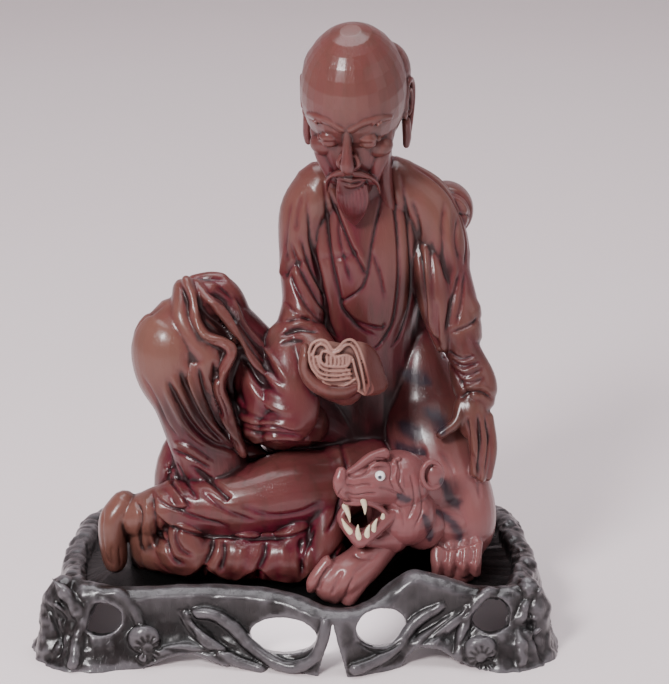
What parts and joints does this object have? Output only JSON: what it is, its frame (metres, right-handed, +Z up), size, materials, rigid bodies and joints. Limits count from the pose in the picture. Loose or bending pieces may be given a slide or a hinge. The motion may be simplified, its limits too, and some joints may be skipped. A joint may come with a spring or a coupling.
{
  "type": "wood sculpture",
  "caption": "Seated robed sage reading a scroll beside a crouching tiger, carved in one block, resting in a pierced root-wood stand.",
  "frame": {"origin": "on the table, under the middle of the whole part's outline", "axes": "+Z up; the man, the tiger's open jaws and the stand's notch face -Y; the tiger is on the +X side"},
  "size_m": [0.263, 0.1616, 0.3056],
  "materials": {
    "rosewood": "polished, red-brown going to near black in the hollows",
    "root_wood": "lacquered black-brown, glossy in front",
    "man_eye": "glossy white inlay with a dark pupil",
    "tiger_eye": "glossy amber inlay with a dark pupil",
    "bone": "smooth bone"
  },
  "bodies": {
    "root": {"figure": "rosewood", "stand": "root_wood", "man_eye_left": "man_eye", "man_eye_right": "man_eye", "tiger_eye_left": "tiger_eye", "tiger_eye_right": "tiger_eye", "tooth_upper": "bone", "tooth_far_upper": "bone", "tooth_far_lower": "bone", "tooth_middle": "bone", "tooth_near_front": "bone", "tooth_near_middle": "bone", "tooth_near_back": "bone"}
  },
  "joints": []
}
